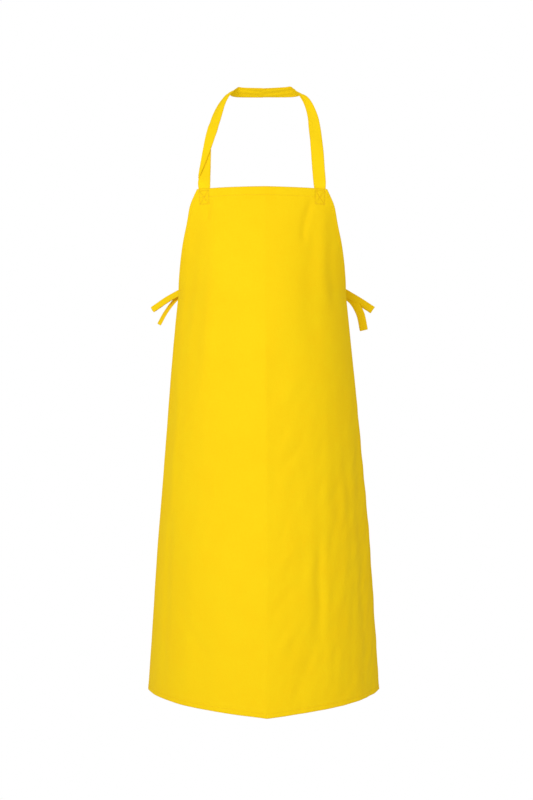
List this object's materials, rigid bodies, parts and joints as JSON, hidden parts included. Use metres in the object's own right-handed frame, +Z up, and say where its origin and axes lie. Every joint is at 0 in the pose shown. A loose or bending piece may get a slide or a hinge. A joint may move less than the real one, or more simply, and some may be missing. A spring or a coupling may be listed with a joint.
{
  "type": "butcher apron",
  "caption": "Long bib apron in woven cloth, shaped as worn: flared panel with turned hems, sewn neck loop, and waist ties tied in a bow behind.",
  "frame": {"origin": "middle of the neck strap's inner face, at the back of the wearer's neck", "axes": "+Z up, the apron's front faces -Y, +X to the viewer's right"},
  "size_m": [0.529, 0.2544, 1.3444],
  "materials": {
    "panel_cloth": "matte plain weave, yellow",
    "tape_cloth": "matte plain weave, folded and sewn flat, yellow",
    "sewing_thread": "spun thread, yellow"
  },
  "bodies": {
    "strap": {"neck_strap": "tape_cloth"},
    "panel": {"body_panel": "panel_cloth", "top_hem": "panel_cloth", "bottom_hem": "panel_cloth", "left_armhole_hem": "panel_cloth", "right_armhole_hem": "panel_cloth", "left_side_hem": "panel_cloth", "right_side_hem": "panel_cloth", "left_strap_end": "tape_cloth", "right_strap_end": "tape_cloth", "left_tie_end": "tape_cloth", "right_tie_end": "tape_cloth", "top_hem_seam": "sewing_thread", "bottom_hem_seam": "sewing_thread", "left_armhole_seam": "sewing_thread", "right_armhole_seam": "sewing_thread", "left_side_seam": "sewing_thread", "right_side_seam": "sewing_thread", "left_strap_stitching": "sewing_thread", "right_strap_stitching": "sewing_thread", "left_tie_stitching": "sewing_thread", "right_tie_stitching": "sewing_thread"},
    "ties": {"left_tie_band": "tape_cloth", "right_tie_band": "tape_cloth", "bow_knot": "tape_cloth"},
    "left_loop": {"left_bow_loop": "tape_cloth"},
    "right_loop": {"right_bow_loop": "tape_cloth"},
    "left_tail": {"left_tie_tail": "tape_cloth"},
    "right_tail": {"right_tie_tail": "tape_cloth"}
  },
  "joints": [
    {"name": "bib_fold", "type": "hinge", "parent": "strap", "child": "panel", "pos_m": [0, -0.13798, -0.229], "axis": [-1, 0, 0], "range_deg": [-60, 90]},
    {"name": "ties_swing", "type": "hinge", "parent": "panel", "child": "ties", "pos_m": [0, -0.06021, -0.455], "axis": [1, 0, 0], "range_deg": [-45, 50]},
    {"name": "left_loop_swing", "type": "hinge", "parent": "ties", "child": "left_loop", "pos_m": [0, 0.0575, -0.425], "axis": [0, -1, 0], "range_deg": [-30, 45]},
    {"name": "right_loop_swing", "type": "hinge", "parent": "ties", "child": "right_loop", "pos_m": [0, 0.0575, -0.425], "axis": [0, 1, 0], "range_deg": [-30, 45]},
    {"name": "left_tail_swing", "type": "hinge", "parent": "ties", "child": "left_tail", "pos_m": [0, 0.0648, -0.425], "axis": [0, -1, 0], "range_deg": [-20, 50]},
    {"name": "right_tail_swing", "type": "hinge", "parent": "ties", "child": "right_tail", "pos_m": [0, 0.0648, -0.425], "axis": [0, 1, 0], "range_deg": [-20, 50]}
  ]
}
